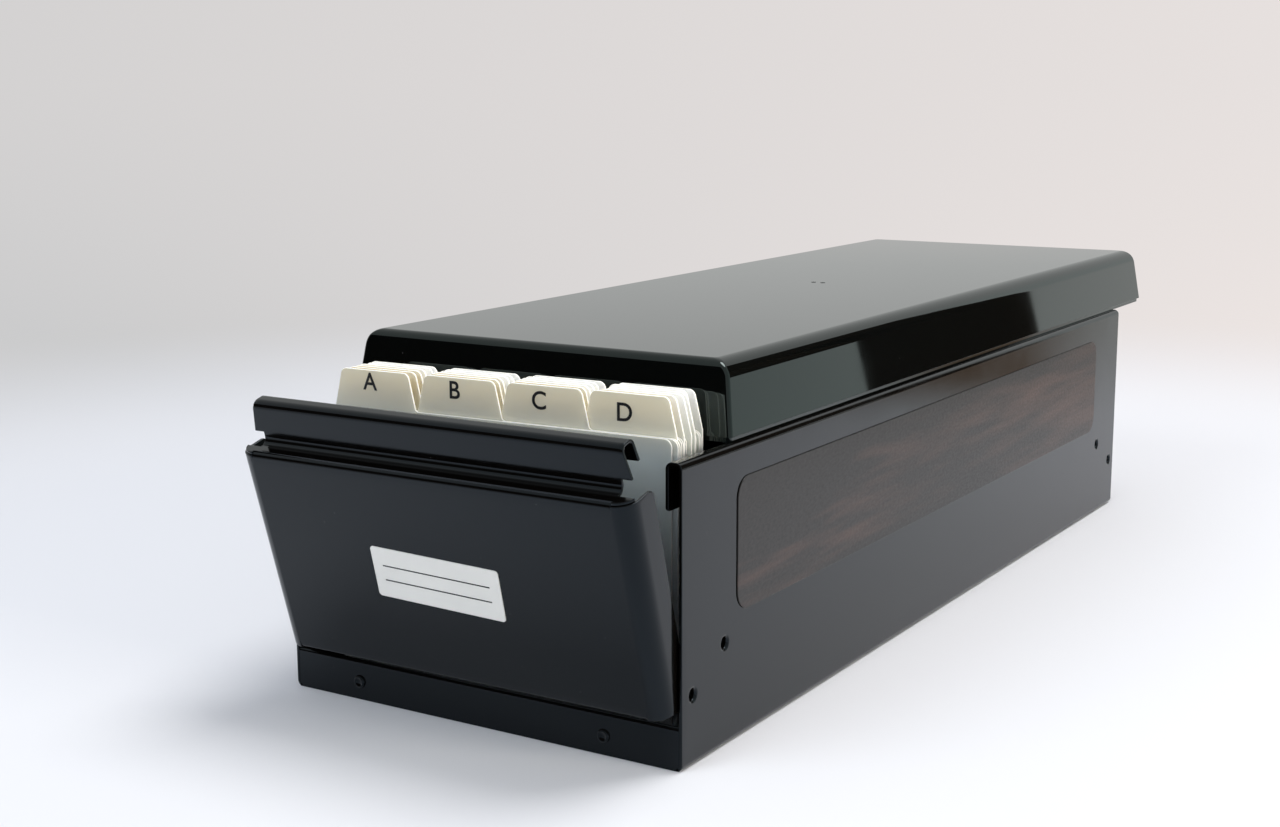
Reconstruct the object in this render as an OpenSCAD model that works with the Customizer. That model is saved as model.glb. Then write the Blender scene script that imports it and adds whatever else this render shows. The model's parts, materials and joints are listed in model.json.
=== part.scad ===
// Card box: a folded sheet-steel case with a tilting front, a lift-off lid and a set of index dividers.
// Millimetres, +Z up, +Y to the back. The front panel stands tilted open and the lid is set back.
// The origin is under the middle of the whole object as it stands.

/* [Case] */
// Width over the side walls
body_w = 115; // [100:1:140]
// Length of the side walls
body_l = 309; // [210:1:400]
// Height of the side walls
body_h = 71; // [66:0.5:90]
// Thickness of the steel sheet
sheet = 0.8; // [0.6:0.1:1]
// Bend radius at the middle of the sheet
bend = 1.2; // [1:0.1:1.4]
// Inner radius of the sharp folds along the sill and the front panel's lower edge
fold_in = 0.2; // [0.1:0.1:0.5]
// Gap between the lip of a side wall's hem and the front panel's flange
lip_gap = 1.3; // [0.5:0.1:1.6]
// Depth of the hem's inner lip
hem_drop = 11.2; // [8:0.1:15]
// Radius of the lip's lower corners
lip_r = 1; // [0.5:0.5:5]
// Width of the foot flange under a side wall
foot_w = 8; // [6:0.5:12]

/* [Floor and sill] */
// Height of the floor's upper face
floor_z = 9.6; // [8:0.1:12]
// Depth of the sill's top flange
sill_d = 5.2; // [4:0.1:7]
// Distance between the sill rivets
rivet_gap = 73; // [40:1:90]
// Height of the sill rivets
rivet_z = 4.7; // [4:0.1:5.5]
// Diameter of a rivet's head
rivet_head = 3.4; // [3:0.1:4]
// Diameter of a rivet's shank
rivet_d = 2.4; // [2:0.1:2.6]
// Height of a rivet's head
rivet_h = 0.6; // [0.4:0.1:0.8]

/* [Pivots and stops] */
// Distance of the pivots from the ends of the walls
pivot_y = 4.9; // [4.6:0.1:7]
// Height of the pivots above the sill
pivot_rise = 6.5; // [6:0.1:9]
// Distance of a stop behind its pivot
stop_back = 14.6; // [12:0.1:20]
// Height of a stop above its pivot
stop_rise = 8.2; // [7:0.1:10]
// Diameter of the hollow of a pressed dimple
dimple_d = 3.2; // [2.6:0.1:3.6]
// Wall of a pressed dimple
dimple_wall = 0.5; // [0.4:0.05:0.8]
// How far a dimple reaches through its hole
dimple_over = 0.2; // [0.1:0.05:0.4]
// Running clearance of a pivot hole, on the radius
pivot_clear = 0.08; // [0.05:0.01:0.1]
// Gap left between a heel and what stops it
stop_gap = 0.2; // [0.1:0.05:0.4]

/* [Front panel] */
// Angle that the panel tilts forward
tilt = 16; // [8:0.5:18]
// How far the closed panel's face stands in front of the walls
face_out = 5.4; // [4:0.1:7]
// Height of the closed panel's lower edge above the sill
face_rise = 4.9; // [4.5:0.1:8]
// Drop of the ledge below the top of the walls
ledge_drop = 0.8; // [0.4:0.1:2]
// Radius of the panel's upright corners
corner_r = 4.8; // [4:0.1:6]
// Depth of the ledge over the panel's upright corners
corner_ledge = 3.7; // [2.5:0.1:3.9]
// Depth of the side flanges behind the face
flange_d = 10.3; // [9:0.1:14]
// Radius of a side flange's upper rear corner
flange_r = 2; // [0.5:0.1:3]
// Gap between a flange and its side wall
flange_gap = 0.6; // [0.4:0.1:1.2]
// Depth of the lower return flange
return_d = 5; // [4:0.5:7]
// Width of the ear round a pivot hole
ear_wall = 2.5; // [1.8:0.1:3]
// Reach of a stop heel past its stop
heel_over = 3.2; // [2.5:0.1:5]

/* [Head of the front panel] */
// Depth from the face to the front of the head
head_back = 5.7; // [5:0.1:8]
// Bend radius between the ledge and the neck below the head
neck_r = 2.2; // [1.4:0.1:2.6]
// Height of the neck between the ledge and the wider head
slot_h = 2.9; // [2.5:0.1:4]
// Height of the head
head_h = 7.9; // [7.5:0.1:12]
// Depth of the head
head_d = 5; // [4:0.1:6]
// Length of the lip behind the head
head_lip = 5.4; // [4:0.1:6.5]
// Bend radius of the head's front edge
head_r = 1.6; // [1.2:0.1:1.8]
// Distance from the side walls' outer faces to the lower ends of the head
head_inset = 3.4; // [2:0.1:5.5]
// How much each end of the head slants inwards to the top
head_slant = 1.5; // [0.5:0.1:3]

/* [Label and wood strips] */
// Width of the label
label_w = 37; // [20:0.5:60]
// Height of the label
label_h = 13.5; // [8:0.5:30]
// Thickness of the label
label_t = 0.4; // [0.2:0.1:1]
// Sideways place of the label's middle
label_x = -1.3; // [-20:0.1:20]
// Height of the label's middle above the panel's lower edge
label_rise = 27; // [18:0.1:36]
// Turn of the label in its plane, in degrees
label_turn = 1.8; // [0:0.1:5]
// Distance of a wood strip from the ends of the wall
strip_end = 25; // [10:0.5:60]
// Height of a wood strip's lower edge
strip_low = 31; // [28:0.5:36]
// Distance of a wood strip from the top of the wall
strip_top = 8; // [4:0.5:14]
// Corner radius of a wood strip
strip_r = 5; // [1:0.5:8]
// Thickness of a wood strip
strip_t = 0.3; // [0.2:0.1:0.6]

/* [Lid] */
// Inset of the lid's lower edge from the side walls' outer faces
lid_inset = 1.4; // [1:0.1:1.8]
// Height of the lid's walls and top
lid_h = 17.7; // [14:0.1:30]
// Thickness of the lid's walls
lid_wall = 2.4; // [2:0.1:3]
// Draft of the lid's walls, in degrees
lid_draft = 8; // [1:0.5:10]
// Radius of the long top edges
lid_side_r = 5; // [3:0.5:6]
// Radius of the short top edges
lid_end_r = 2.6; // [2:0.1:5]
// Gap between the dividers and the lid, which is set back behind them
lid_clear = 0.8; // [0.5:0.1:30]
// Shadow gap between the lid's edge and the walls
lid_gap = 1.3; // [0.5:0.1:2.5]
// Thickness of the tongue that the lid stands on
tongue_t = 1.2; // [0.8:0.1:1.5]
// Inset of the tongue from the lid's outer edge
tongue_in = 0.7; // [0.4:0.1:0.9]

/* [Index dividers] */
// Play between the dividers and the hems, on each side
divider_play = 5.2; // [3.5:0.1:10]
// Height of a divider without its tab
divider_h = 64.2; // [50:0.5:70]
// Thickness of a divider
divider_t = 0.45; // [0.3:0.05:0.8]
// Gap between a divider and the next
divider_gap = 0.13; // [0.1:0.01:0.5]
// Number of tabs side by side
tab_columns = 4; // [3:1:5]
// Width of a tab at its foot
tab_w = 24.8; // [15:0.1:26]
// Height of a tab
tab_h = 9.3; // [5:0.1:12]
// How much each side of a tab slants inwards
tab_slant = 2.2; // [0.5:0.1:4]
// Radius of a tab's corners
tab_r = 1.8; // [0.5:0.1:2.5]
// Radius of the hollow at the foot of a tab
foot_r = 1; // [0.5:0.1:2]
// Radius of a divider's upper corners
divider_r = 2; // [1:0.5:5]
// Gap between the front divider and the closed panel
stack_clear = 1; // [0.5:0.1:5]
// Sideways place of the dividers
stack_x = 1.8; // [-2:0.1:2]
// How far the loose dividers stray sideways from their row
stack_stray = 0.9; // [0:0.1:1.2]
// Turn of the loose dividers in the box, in degrees
stack_turn = 2; // [0:0.1:3]

/* [Hidden] */
$fn = 48;
BEND_STEP = 10;
CUT = 1;
STRAY_SEED = 759;
PAINT = "#2b2624";
GLOSS = "#0e0f11";
WOOD = "#3a2722";
WHITE = "#e9e7de";

DIVIDERS = ["a", "b", "c", "d", "e", "f", "g", "h", "i", "j", "k", "l",
            "m", "n", "o", "p", "q", "r", "s", "t", "u", "v", "w", "xyz"];

// Case, with every path along the middle of the sheet
mid = sheet / 2;
bend_out = bend + mid;
fold = fold_in + mid;
half_w = body_w / 2;
inner_w = half_w - sheet;
flange_x = inner_w - flange_gap;
lip_x = flange_x - 2 * sheet - lip_gap;
hem_w = half_w - lip_x;
sill_top = floor_z + sheet;

// Pivots, stops and the bosses pressed for them
pivot_z = sill_top + pivot_rise;
stop_y = pivot_y + stop_back;
stop_z = pivot_z + stop_rise;
boss_d = dimple_d + 2 * dimple_wall;
boss_l = flange_gap + sheet + dimple_over;
hole_d = boss_d + 2 * pivot_clear;
ear_r = hole_d / 2 + ear_wall;

// Front panel in its closed place
face_y = -face_out;
face_bottom = sill_top + face_rise;
ledge_z = body_h - ledge_drop;
corner_top = ledge_z - sheet;
seam_top = ledge_z - bend_out;
seam_bottom = face_bottom + mid + fold;
flat_x = flange_x - corner_r;
head_x = half_w - head_inset;
head_y = face_y + head_back;
head_z = ledge_z + slot_h;
head_top = head_z + head_h;

// Stop heels: the upper edge meets the stop when open, the lower edge meets the floor when closed
stop_reach = norm([stop_back, stop_rise]);
heel_l = stop_reach + heel_over;
heel_angle = atan2(stop_rise, stop_back) - asin((boss_d / 2 + stop_gap) / stop_reach) - tilt;
heel_drop = pivot_z - floor_z - stop_gap;

// Dividers, behind the closed panel's head and the sill
divider_w = 2 * (lip_x - divider_play);
divider_pitch = divider_t + divider_gap;
tab_pitch = (divider_w - tab_w) / (tab_columns - 1);
strays = rands(-stack_stray, stack_stray, len(DIVIDERS), STRAY_SEED);
stack_depth = len(DIVIDERS) * divider_pitch - divider_gap;
stack_skew = divider_w / 2 * sin(stack_turn);
stack_front = max(head_y + head_d, sill_d) + stack_clear;
stack_y = stack_front + stack_skew;
stack_rear = stack_y + stack_skew + stack_depth * cos(stack_turn);

// Lid, as long as the closed case and set back behind the dividers
lid_w = body_w - 2 * lid_inset;
lid_l = body_l + face_out;
lid_z = body_h + lid_gap;
lid_y = stack_rear + lid_clear;

// Reach of the whole object, front to back
top_corner = [face_y - pivot_y, corner_top - pivot_z];
front_reach = pivot_y + top_corner.x * cos(tilt) - top_corner.y * sin(tilt);
rear_reach = lid_y + lid_l;
middle_y = (front_reach + rear_reach) / 2;

// Points of one bend between three path points, on the side that lies off from the middle of the sheet
function unit(v) = v / norm(v);
function bend_points(a, b, c, r, off) =
    let (d0 = unit(b - a), d1 = unit(c - b),
         turn = atan2(d0.x * d1.y - d0.y * d1.x, d0 * d1),
         side = sign(turn),
         start = b - d0 * r * tan(abs(turn) / 2),
         centre = start + side * r * [-d0.y, d0.x],
         from = atan2(d0.y, d0.x) - side * 90,
         steps = max(1, ceil(abs(turn) / BEND_STEP)))
    [for (i = [0:steps]) let (angle = from + turn * i / steps)
        centre + (r - side * off) * [cos(angle), sin(angle)]];

function round_corner(a, b, c, r) = bend_points(a, b, c, r, 0);

// One side of a folded sheet that follows a path, with a radius for each bend
function sheet_side(path, radii, off) =
    let (last = len(path) - 1,
         first_d = unit(path[1] - path[0]),
         last_d = unit(path[last] - path[last - 1]))
    concat([path[0] + off * [-first_d.y, first_d.x]],
           [for (i = [1:1:last - 1]) each bend_points(path[i - 1], path[i], path[i + 1], radii[i - 1], off)],
           [path[last] + off * [-last_d.y, last_d.x]]);

function reversed(list) = [for (i = [len(list) - 1:-1:0]) list[i]];
function same(count, value) = [for (i = [1:count]) value];

module folded_sheet(path, radii) {
    polygon(concat(sheet_side(path, radii, mid), reversed(sheet_side(path, radii, -mid))));
}

// Extrusions of a profile drawn in the plane across X or across Y
module along_x(x0, x1) {
    translate([x0, 0, 0]) rotate([90, 0, 90]) linear_extrude(x1 - x0) children();
}

module along_y(y0, y1) {
    translate([0, y1, 0]) rotate([90, 0, 0]) linear_extrude(y1 - y0) children();
}

module pin_x(x0, x1, y, z, d) {
    translate([x0, y, z]) rotate([0, 90, 0]) cylinder(h = x1 - x0, d = d);
}

// Every piece is drawn with Y from the front of the walls, then moved to the common origin
module in_place() {
    translate([0, -middle_y, 0]) children();
}

module tilted() {
    translate([0, pivot_y, pivot_z]) rotate([tilt, 0, 0]) translate([0, -pivot_y, -pivot_z]) children();
}

function rear_dimples() = [[body_l - pivot_y, pivot_z], [body_l - stop_y, stop_z]];
function all_dimples() = concat([[pivot_y, pivot_z], [stop_y, stop_z]], rear_dimples());

// A right side wall: foot flange, wall, hem and the four dimples pressed inwards
module side_wall_shape() {
    wall_x = half_w - mid;
    path = [[half_w - foot_w, mid], [wall_x, mid], [wall_x, body_h - mid],
            [lip_x + mid, body_h - mid], [lip_x + mid, body_h - hem_drop]];
    difference() {
        union() {
            along_y(0, body_l) folded_sheet(path, same(3, bend));
            for (place = all_dimples())
                pin_x(inner_w - boss_l, inner_w + mid, place.x, place.y, boss_d);
        }
        for (place = all_dimples())
            pin_x(inner_w - boss_l + sheet, half_w + CUT, place.x, place.y, dimple_d);
        for (end = [0, 1])
            translate([0, end * body_l, body_h - hem_drop]) mirror([0, end, 0]) lip_corner_cut();
        foot_notch();
    }
}

// What rounds a lower corner of the hem's lip
module lip_corner_cut() {
    along_x(lip_x - CUT, lip_x + sheet + lip_gap / 2)
        difference() {
            translate([-CUT, -CUT]) square(lip_r + CUT);
            translate([lip_r, lip_r]) circle(lip_r);
        }
}

// Room in the foot flange for the sill
module foot_notch() {
    translate([half_w - foot_w - CUT, -CUT, -CUT])
        cube([foot_w + CUT - sheet, sheet + CUT, bend_out + CUT]);
}

module right_side_wall() {
    color(PAINT) in_place() side_wall_shape();
}

module left_side_wall() {
    color(PAINT) in_place() mirror([1, 0, 0]) side_wall_shape();
}

// Floor folded down along both sides, and at the front behind the sill
module floor_plate() {
    side_x = inner_w - mid;
    front_y = sheet + mid;
    seam_y = front_y + bend_out;
    front_w = 2 * (inner_w - sheet - bend_out);
    sides = [[-side_x, bend_out], [-side_x, floor_z - mid], [side_x, floor_z - mid], [side_x, bend_out]];
    front = [[front_y, sheet], [front_y, floor_z - mid], [seam_y, floor_z - mid]];
    color(PAINT) in_place()
        difference() {
            union() {
                along_y(seam_y, body_l - sheet) folded_sheet(sides, same(2, bend));
                along_x(-front_w / 2, front_w / 2) folded_sheet(front, same(1, bend));
            }
            rivet_holes();
        }
}

module rivet_holes() {
    for (x = [-rivet_gap / 2, rivet_gap / 2])
        translate([x, -CUT, rivet_z]) rotate([-90, 0, 0]) cylinder(h = 2 * sheet + 2 * CUT, d = rivet_d);
}

// Low fixed strip at the front: an upright face folded back over the floor
module front_sill() {
    path = [[mid, 0], [mid, sill_top - mid], [sill_d, sill_top - mid]];
    color(PAINT) in_place()
        difference() {
            along_x(-inner_w, inner_w) folded_sheet(path, [fold]);
            rivet_holes();
        }
}

module sill_rivets() {
    tail_d = (rivet_head + rivet_d) / 2;
    color(PAINT) in_place()
        for (x = [-rivet_gap / 2, rivet_gap / 2])
            translate([x, 0, rivet_z]) rotate([-90, 0, 0]) {
                translate([0, 0, -rivet_h]) cylinder(h = rivet_h, d1 = rivet_d, d2 = rivet_head);
                cylinder(h = 2 * sheet, d = rivet_d);
                translate([0, 0, 2 * sheet]) cylinder(h = rivet_h, d = tail_d);
            }
}

// Fixed back: face with flanges on the dimples, full width below, narrower between the hems above
module rear_panel() {
    back_y = body_l - mid;
    flange_end = body_l - stop_y - ear_r;
    flange_mid = flange_x - mid;
    low_z = sill_top;
    high_z = body_h - hem_drop - sheet;
    low_h = low_z + sheet - bend_out;
    flanges = [[-flange_mid, flange_end], [-flange_mid, back_y],
               [flange_mid, back_y], [flange_mid, flange_end]];
    hem = [[back_y, high_z - sheet], [back_y, body_h - mid], [body_l - hem_w + mid, body_h - mid],
           [body_l - hem_w + mid, body_h - hem_drop]];
    color(PAINT) in_place()
        difference() {
            union() {
                translate([-inner_w, body_l - sheet, bend_out]) cube([2 * inner_w, sheet, low_h]);
                translate([0, 0, low_z]) linear_extrude(high_z - low_z) folded_sheet(flanges, same(2, bend));
                along_x(-lip_x, lip_x) folded_sheet(hem, same(2, bend));
            }
            for (place = rear_dimples())
                pin_x(-half_w, half_w, place.x, place.y, hole_d);
        }
}

// One side flange of the front panel: flange, pivot ear and stop heel, in the plane of Y and Z
module flange_profile() {
    corners = [[face_y + corner_r, face_bottom], [face_y + flange_d, face_bottom],
               [face_y + flange_d, corner_top], [face_y + corner_r, corner_top]];
    difference() {
        union() {
            polygon(concat([corners[0], corners[1]],
                           round_corner(corners[1], corners[2], corners[3], flange_r),
                           [corners[3]]));
            translate([pivot_y, pivot_z]) {
                circle(ear_r);
                polygon([[0, 0], [0, -ear_r], [heel_l / 2, -heel_drop], [heel_l - heel_drop / 2, -heel_drop],
                         heel_l * [cos(heel_angle), sin(heel_angle)]]);
            }
        }
        translate([pivot_y, pivot_z]) circle(d = hole_d);
    }
}

// Face of the closed front panel between its flanges, with rounded upright corners as high as the flanges
module face_and_corners() {
    face_mid = face_y + mid;
    flange_mid = flange_x - mid;
    corners = [[-flange_mid, face_y + corner_r], [-flange_mid, face_mid],
               [flange_mid, face_mid], [flange_mid, face_y + corner_r]];
    difference() {
        translate([0, 0, face_bottom])
            linear_extrude(corner_top - face_bottom) folded_sheet(corners, same(2, corner_r - mid));
        for (z = [seam_bottom - body_h, seam_top])
            translate([-flat_x, face_y - CUT, z]) cube([2 * flat_x, sheet + 2 * CUT, body_h]);
    }
}

// The end of the ledge that lies on a rounded corner
module corner_ledge_plate() {
    translate([flat_x, 0, corner_top])
        linear_extrude(sheet)
            intersection() {
                translate([0, face_y + corner_r]) circle(corner_r - mid);
                translate([0, face_y]) square([corner_r, corner_ledge]);
            }
}

// What cuts an end of the head at a slant
module head_end_cut() {
    over = CUT * head_slant / head_h;
    along_y(head_y - CUT, head_y + head_d + CUT)
        polygon([[head_x + over, head_z - CUT], [half_w + CUT, head_z - CUT],
                 [half_w + CUT, head_top + CUT], [head_x - head_slant - over, head_top + CUT]]);
}

// Head of the closed front panel: front, top and rear lip, wider than the neck that carries it
module panel_head() {
    front_mid = head_y + mid;
    lip_mid = head_y + head_d - mid;
    path = [[front_mid, head_z], [front_mid, head_top - mid], [lip_mid, head_top - mid],
            [lip_mid, head_top - head_lip]];
    difference() {
        along_x(-half_w, half_w) folded_sheet(path, [head_r, bend]);
        for (side = [0, 1])
            mirror([side, 0, 0]) head_end_cut();
    }
}

// Front panel, closed: face, flanges and return flange below, ledge, neck and head above
module closed_front_panel() {
    face_mid = face_y + mid;
    lower = [[face_mid, seam_bottom], [face_mid, face_bottom + mid], [face_y + return_d, face_bottom + mid]];
    upper = [[face_mid, seam_top], [face_mid, ledge_z - mid], [head_y + mid, ledge_z - mid],
             [head_y + mid, head_z]];
    face_and_corners();
    for (side = [0, 1])
        mirror([side, 0, 0]) {
            along_x(flange_x - sheet, flange_x) flange_profile();
            corner_ledge_plate();
        }
    along_x(-flat_x, flat_x) folded_sheet(lower, [fold]);
    along_x(-flat_x, flat_x) folded_sheet(upper, [bend, neck_r]);
    panel_head();
}

module front_panel() {
    color(PAINT) in_place() tilted() closed_front_panel();
}

module front_label() {
    color(WHITE) in_place() tilted()
        translate([label_x, face_y, face_bottom + label_rise]) rotate([0, label_turn, 0])
            translate([-label_w / 2, -label_t, -label_h / 2]) cube([label_w, label_t, label_h]);
}

module wood_strip_shape() {
    along_x(half_w, half_w + strip_t)
        translate([strip_end, strip_low])
            rounded_rectangle(body_l - 2 * strip_end, body_h - strip_top - strip_low, strip_r);
}

module rounded_rectangle(l, h, r) {
    translate([r, 0]) square([l - 2 * r, h]);
    translate([0, r]) square([l, h - 2 * r]);
    for (x = [r, l - r], y = [r, h - r])
        translate([x, y]) circle(r);
}

module right_wood_strip() {
    color(WOOD) in_place() wood_strip_shape();
}

module left_wood_strip() {
    color(WOOD) in_place() mirror([1, 0, 0]) wood_strip_shape();
}

// Outline of the lid seen along one axis: drafted sides and round upper corners
module lid_outline(half, h, r) {
    round_x = half - h * tan(lid_draft) - r * (1 - sin(lid_draft)) / cos(lid_draft);
    tangent_x = round_x + r * cos(lid_draft);
    tangent_z = h - r + r * sin(lid_draft);
    polygon([[-half, 0], [half, 0], [tangent_x, tangent_z], [round_x, h - r], [round_x, h],
             [-round_x, h], [-round_x, h - r], [-tangent_x, tangent_z]]);
    for (side = [-1, 1])
        translate([side * round_x, h - r]) circle(r);
}

// A drafted block with the lid's round edges, smaller by a wall on every side
module lid_block(wall) {
    h = lid_h - wall;
    intersection() {
        along_y(-lid_l / 2, lid_l / 2) lid_outline(lid_w / 2 - wall, h, lid_side_r - wall / 2);
        along_x(-lid_w / 2, lid_w / 2) lid_outline(lid_l / 2 - wall, h, lid_end_r - wall / 2);
    }
}

// The tongue under the lid's walls, a frame that stands on the hems
module lid_tongue() {
    outer = [lid_w - 2 * tongue_in, lid_l - 2 * tongue_in];
    inner = outer - 2 * [tongue_t, tongue_t];
    translate([0, 0, -lid_gap])
        linear_extrude(lid_gap)
            difference() {
                square(outer, center = true);
                square(inner, center = true);
            }
}

module lid() {
    color(GLOSS) in_place() translate([0, lid_y + lid_l / 2, lid_z]) {
        difference() {
            lid_block(0);
            lid_block(lid_wall);
        }
        lid_tongue();
    }
}

// Outline of a divider, with the tab in one of the columns
function divider_outline(column) =
    let (right = divider_w / 2, left = -right, top = divider_h + tab_h,
         foot_left = left + column * tab_pitch, foot_right = foot_left + tab_w,
         tab = [[foot_right, divider_h], [foot_right - tab_slant, top],
                [foot_left + tab_slant, top], [foot_left, divider_h]],
         right_shoulder = [right, divider_h], left_shoulder = [left, divider_h],
         first = column == 0, last = column == tab_columns - 1)
    concat([[left, 0], [right, 0]],
           last ? [tab[0]] : concat(round_corner([right, 0], right_shoulder, tab[0], divider_r),
                                    round_corner(right_shoulder, tab[0], tab[1], foot_r)),
           round_corner(tab[0], tab[1], tab[2], tab_r),
           round_corner(tab[1], tab[2], tab[3], tab_r),
           first ? [tab[3]] : concat(round_corner(tab[2], tab[3], left_shoulder, foot_r),
                                     round_corner(tab[3], left_shoulder, [left, 0], divider_r)));

module divider(index) {
    color(WHITE) in_place()
        translate([stack_x, stack_y, floor_z]) rotate([0, 0, stack_turn])
            translate([strays[index], index * divider_pitch + divider_t, 0])
                rotate([90, 0, 0]) linear_extrude(divider_t) polygon(divider_outline(index % tab_columns));
}

floor_plate();
front_sill();
sill_rivets();
left_side_wall();
right_side_wall();
rear_panel();
left_wood_strip();
right_wood_strip();
front_panel();
front_label();
lid();
for (i = [0:len(DIVIDERS) - 1])
    divider(i);
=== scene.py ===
"""Card box with a tilting front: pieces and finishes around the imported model, and a studio stage."""

import json
import math

import bmesh
import bpy
from bpy.props import FloatProperty, FloatVectorProperty, IntProperty, PointerProperty
from mathutils import Matrix, Vector
from mathutils.geometry import delaunay_2d_cdt


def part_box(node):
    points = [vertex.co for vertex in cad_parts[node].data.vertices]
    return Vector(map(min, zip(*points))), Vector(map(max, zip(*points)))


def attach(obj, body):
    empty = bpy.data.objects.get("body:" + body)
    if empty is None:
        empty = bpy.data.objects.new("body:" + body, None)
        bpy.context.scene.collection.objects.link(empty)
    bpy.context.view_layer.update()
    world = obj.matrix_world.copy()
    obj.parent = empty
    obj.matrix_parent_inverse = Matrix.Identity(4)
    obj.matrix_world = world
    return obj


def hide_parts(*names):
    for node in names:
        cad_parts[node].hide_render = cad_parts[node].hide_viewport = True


bl_info = {
    "name": "Card Box",
    "version": (1, 0, 0),
    "blender": (4, 5, 0),
    "location": "View3D > Sidebar > Card Box",
    "description": "Builds a sheet-steel card box with a tilting front, a moulded lid and index dividers",
    "category": "Add Mesh",
}

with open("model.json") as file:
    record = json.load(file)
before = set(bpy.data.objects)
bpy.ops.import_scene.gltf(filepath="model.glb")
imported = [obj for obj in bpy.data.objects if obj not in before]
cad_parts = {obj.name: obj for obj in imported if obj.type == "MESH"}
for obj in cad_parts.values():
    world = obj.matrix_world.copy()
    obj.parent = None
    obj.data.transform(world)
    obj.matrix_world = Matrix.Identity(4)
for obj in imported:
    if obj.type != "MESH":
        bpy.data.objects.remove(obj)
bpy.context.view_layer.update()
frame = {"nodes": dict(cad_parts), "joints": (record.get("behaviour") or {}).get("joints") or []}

MM = 0.001
WELD = 0.002 * MM
BEND_STEP = math.radians(9)
HARD_EDGE = math.radians(50)
ROUND_SIDES = 32
LID_EDGE_STEPS = 10
BACK = (0.0, 1.0, 0.0)
UP = (0.0, 0.0, 1.0)

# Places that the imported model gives, with depths measured from the front of the side walls
WALL_LOW, WALL_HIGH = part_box("right_side_wall")
HALF_W = WALL_HIGH.x
FRONT = WALL_LOW.y
BODY_L = WALL_HIGH.y - WALL_LOW.y
BODY_H = WALL_HIGH.z
FLOOR_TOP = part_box("floor_plate")[1].z
SILL_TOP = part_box("front_sill")[1].z
TILT_JOINT = next(joint for joint in frame["joints"] if joint["name"] == "front_tilt")
PIVOT = Vector(TILT_JOINT["pos_m"])
PIVOT_Y = PIVOT.y - FRONT
TILT = math.radians(-TILT_JOINT["range_deg"][0])
DIVIDER_NODES = [node for node in frame["nodes"] if node.startswith("divider_")]

# A rivet's head from its middle to the sheet, in shares of its radius and height, and the radii behind it
RIVET_HEAD = ((0.12, 0.45), (0.4, 0.5), (0.58, 0.85), (0.72, 1.0), (0.88, 0.85), (1.0, 0.25), (1.0, 0.0))
RIVET_SHANK = 0.7
RIVET_CLINCH = 0.85

# A gate mark from its rim to its middle: share of its radius, and height
GATE_MARK = ((1.0, 0.0), (0.9, 0.1 * MM), (0.6, 0.12 * MM), (0.3, 0.05 * MM))

# Height of a capital as a share of the type size, and the steps in a letter's curves
CAP_HEIGHT = 0.72
LETTER_STEPS = 6

# Range that holds most values of a noise
NOISE_MIDDLE = (0.3, 0.7)

# Places of a mix node's colours among its sockets
MIX_FIRST = 6
MIX_SECOND = 7
MIX_RESULT = 2

# Colour of dust, and the share of a speck that has all of it
DUST = (0.32, 0.31, 0.30, 1.0)
SPECK_CORE = 0.6

# Left, right, lower and upper edge of the dark boards that the lid reflects, in metres
CORNER_BOARDS = ((-0.054, 0.0656, 0.0, 0.30), (0.0656, 0.30, 0.09, 0.30), (-0.10, 0.30, 0.30, 0.60))
ROOM_BOARDS = ((-2.0, 2.0, 0.0, 1.0),)

# Where the backdrop changes its tone, in sines of the sideways and the upward heading
LEFT_TO_RIGHT = (-0.6, 0.6)
FAR_RIGHT = (0.6, 0.92)
HIGHER_UP = (0.045, 0.10)

# Where reflections show brown furniture: its near and far end, in metres, and its sideways heading
FURNITURE_NEAR = (0.28, 0.45)
FURNITURE_FAR = (1.2, 0.8)
FURNITURE_SIDE = (0.765, 0.83)

STAGE_REACH = 40.0
STAGE_DROP = 0.05 * MM


def size(name, description, millimetres):
    """A length that a user may change, given in millimetres."""
    return FloatProperty(name=name, description=description, default=millimetres * MM, unit="LENGTH",
                         precision=5)


def angle(name, description, degrees):
    """An angle that a user may change, given in degrees."""
    return FloatProperty(name=name, description=description, default=math.radians(degrees), subtype="ANGLE")


def colour(name, description, red, green, blue):
    """A colour that a user may change."""
    return FloatVectorProperty(name=name, description=description, default=(red, green, blue, 1.0), size=4,
                               subtype="COLOR", min=0.0, max=1.0)


def share(name, description, value):
    """A number from 0 to 1 that a user may change."""
    return FloatProperty(name=name, description=description, default=value, min=0.0, max=1.0,
                         subtype="FACTOR")


def power(name, description, watts):
    """A light's power that a user may change, in watts."""
    return FloatProperty(name=name, description=description, default=watts, unit="POWER")


def point(name, description, *place):
    """A place that a user may change, in metres."""
    return FloatVectorProperty(name=name, description=description, default=place, size=3,
                               subtype="TRANSLATION", unit="LENGTH")


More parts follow.
